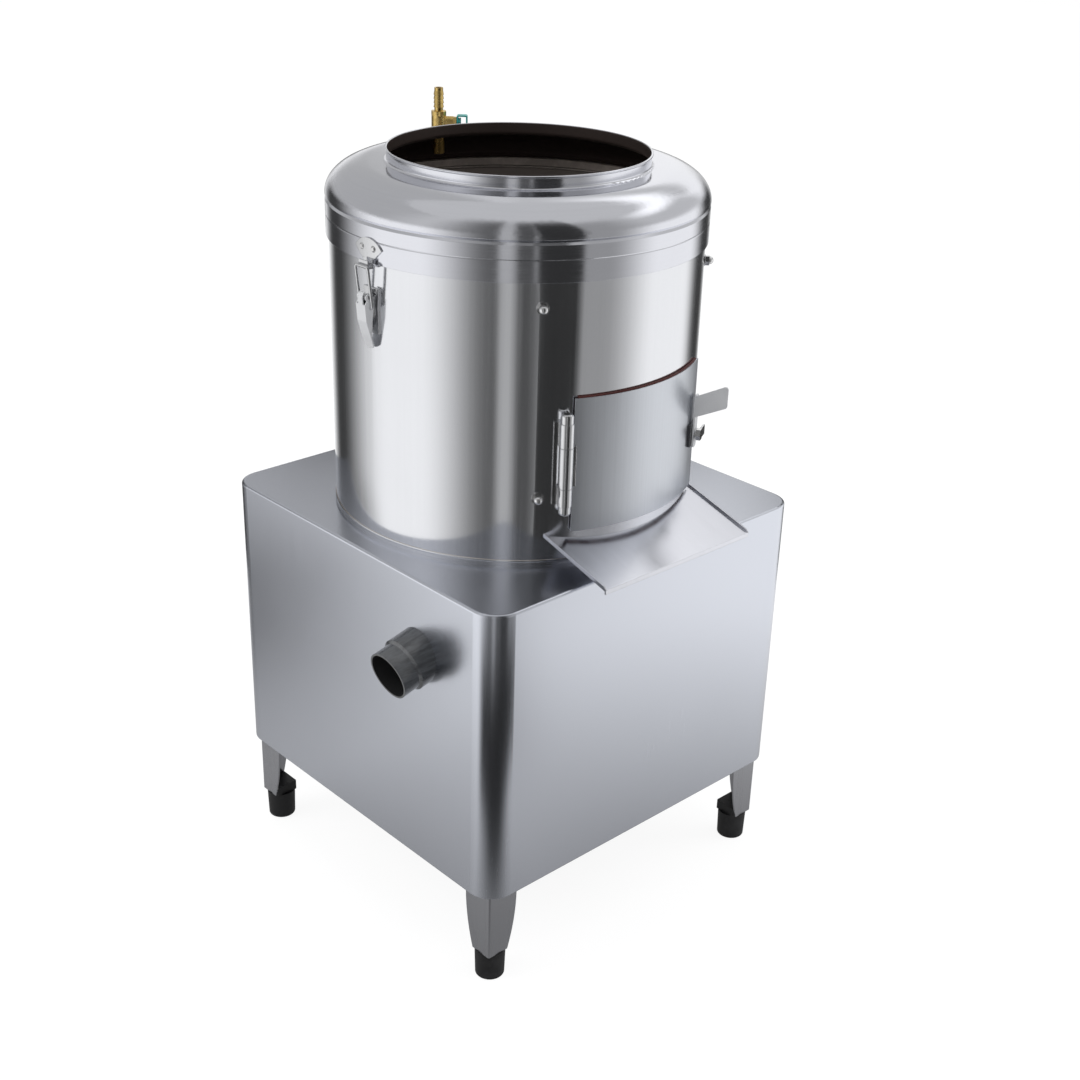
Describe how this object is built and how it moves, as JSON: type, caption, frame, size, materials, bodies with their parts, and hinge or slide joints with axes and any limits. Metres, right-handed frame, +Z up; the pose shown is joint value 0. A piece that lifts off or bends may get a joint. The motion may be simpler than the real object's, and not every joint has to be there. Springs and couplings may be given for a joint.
{
  "type": "potato peeling machine",
  "caption": "Floor-standing potato peeler: square steel base on legs, round grit-lined barrel over a driven disc, hinged discharge door with chute, and lift-off domed cover with water inlet.",
  "frame": {"origin": "on the floor under the barrel's axis, which is also the middle of the footprint", "axes": "+Z up, -Y towards the discharge door and chute, -X towards the drain spout"},
  "size_m": [0.5526, 0.525, 0.8865],
  "materials": {
    "housing_steel": "satin",
    "barrel_steel": "polished",
    "fitting_steel": "polished",
    "fastener_steel": "bright",
    "foot_rubber": "matt black",
    "seal_rubber": "matt reddish brown",
    "black_rubber": "matt",
    "grit_liner": "steel sheet coated with dark grit",
    "grit_disc": "cast plate coated with dark grit",
    "drain_plastic": "dark grey moulded plastic, satin",
    "frame_paint": "dark grey paint",
    "drive_casting": "machined casting",
    "motor_paint": "blue-grey paint",
    "valve_brass": "bright",
    "handle_paint": "teal",
    "box_plastic": "light grey",
    "start_green": "green",
    "stop_red": "red",
    "gland_nylon": "black"
  },
  "bodies": {
    "machine": {"base_housing": "housing_steel", "leg_front_left": "housing_steel", "leg_front_right": "housing_steel", "leg_rear_left": "housing_steel", "leg_rear_right": "housing_steel", "barrel_shell": "barrel_steel", "chute": "barrel_steel", "barrel_floor": "barrel_steel", "hinge_fixed_leaf": "fitting_steel", "hinge_pin": "fitting_steel", "latch_keeper": "fitting_steel", "draw_latch_base_left": "fitting_steel", "draw_latch_base_right": "fitting_steel", "liner_fasteners": "fastener_steel", "draw_latch_rivets": "fastener_steel", "drive_bolts": "fastener_steel", "shaft_bearings": "fastener_steel", "foot_front_left": "foot_rubber", "foot_front_right": "foot_rubber", "foot_rear_left": "foot_rubber", "foot_rear_right": "foot_rubber", "shaft_seal": "black_rubber", "drive_belt": "black_rubber", "liner_left": "grit_liner", "liner_rear": "grit_liner", "liner_front": "grit_liner", "drain_elbow": "drain_plastic", "drain_spout": "drain_plastic", "drain_locknut": "drain_plastic", "frame_rails": "frame_paint", "drive_plate": "frame_paint", "bearing_housing": "drive_casting", "motor_body": "motor_paint", "switch_box": "box_plastic", "cable_gland": "gland_nylon"},
    "disc_rotor": {"drive_shaft": "fastener_steel", "peeling_disc": "grit_disc", "disc_nut": "fastener_steel", "driven_pulley": "drive_casting"},
    "motor_rotor": {"motor_shaft": "fastener_steel", "motor_pulley": "drive_casting"},
    "door": {"door_panel": "barrel_steel", "door_seal": "seal_rubber", "hinge_door_leaf": "fitting_steel", "door_latch_base": "fitting_steel", "door_latch_bolt": "fastener_steel"},
    "door_handle": {"door_latch_lever": "fitting_steel"},
    "lever_left": {"draw_latch_lever_left": "fitting_steel"},
    "lever_right": {"draw_latch_lever_right": "fitting_steel"},
    "bail_left": {"draw_latch_bail_left": "fitting_steel"},
    "bail_right": {"draw_latch_bail_right": "fitting_steel"},
    "cover": {"cover_dome": "barrel_steel", "cover_gasket": "black_rubber", "cover_keepers": "fitting_steel", "cover_rivets": "fastener_steel", "valve_body": "valve_brass", "hose_barb": "valve_brass"},
    "inlet_handle": {"valve_handle": "handle_paint"},
    "start_plunger": {"start_button": "start_green"},
    "stop_plunger": {"stop_button": "stop_red"}
  },
  "joints": [
    {"name": "disc_spin", "type": "hinge", "parent": "machine", "child": "disc_rotor", "pos_m": [0, 0, 0.3], "axis": [0, 0, 1], "continuous": true},
    {"name": "motor_spin", "type": "hinge", "parent": "machine", "child": "motor_rotor", "pos_m": [0.11, 0.11, 0.25], "axis": [0, 0, 1], "continuous": true},
    {"name": "door_swing", "type": "hinge", "parent": "machine", "child": "door", "pos_m": [-0.09563, -0.18528, 0.578], "axis": [0, 0, -1], "range_deg": [0, 120]},
    {"name": "door_latch_turn", "type": "hinge", "parent": "door", "child": "door_handle", "pos_m": [0.09664, -0.18565, 0.562], "axis": [-0.4617, 0.887, 0], "range_deg": [0, 90]},
    {"name": "cover_lift", "type": "slide", "parent": "machine", "child": "cover", "axis": [0, 0, 1], "range_m": [0, 0.15]},
    {"name": "inlet_valve_turn", "type": "hinge", "parent": "cover", "child": "inlet_handle", "pos_m": [0.02612, 0.16494, 0.85], "axis": [0.7314, -0.682, 0], "range_deg": [0, 90]},
    {"name": "left_lever_turn", "type": "hinge", "parent": "machine", "child": "lever_left", "pos_m": [-0.21087, -0.00736, 0.729], "axis": [-0.0349, 0.9994, 0], "range_deg": [0, 140]},
    {"name": "left_bail_turn", "type": "hinge", "parent": "lever_left", "child": "bail_left", "pos_m": [-0.20837, -0.00728, 0.718], "axis": [0.0349, -0.9994, 0], "range_deg": [0, 154.1]},
    {"name": "right_lever_turn", "type": "hinge", "parent": "machine", "child": "lever_right", "pos_m": [0.21087, 0.00736, 0.729], "axis": [0.0349, -0.9994, 0], "range_deg": [0, 140]},
    {"name": "right_bail_turn", "type": "hinge", "parent": "lever_right", "child": "bail_right", "pos_m": [0.20837, 0.00728, 0.718], "axis": [-0.0349, 0.9994, 0], "range_deg": [0, 154.1]},
    {"name": "start_press", "type": "slide", "parent": "machine", "child": "start_plunger", "axis": [-1, 0, 0], "range_m": [0, 0.004], "stiffness_N_per_m": 800, "springref_m": -0.002},
    {"name": "stop_press", "type": "slide", "parent": "machine", "child": "stop_plunger", "axis": [-1, 0, 0], "range_m": [0, 0.004], "stiffness_N_per_m": 800, "springref_m": -0.002}
  ],
  "couplings": [
    {"joint": "motor_spin", "follows": "disc_spin", "ratio": 4},
    {"joint": "left_bail_turn", "follows": "left_lever_turn", "ratio": 1.1},
    {"joint": "right_bail_turn", "follows": "right_lever_turn", "ratio": 1.1}
  ]
}
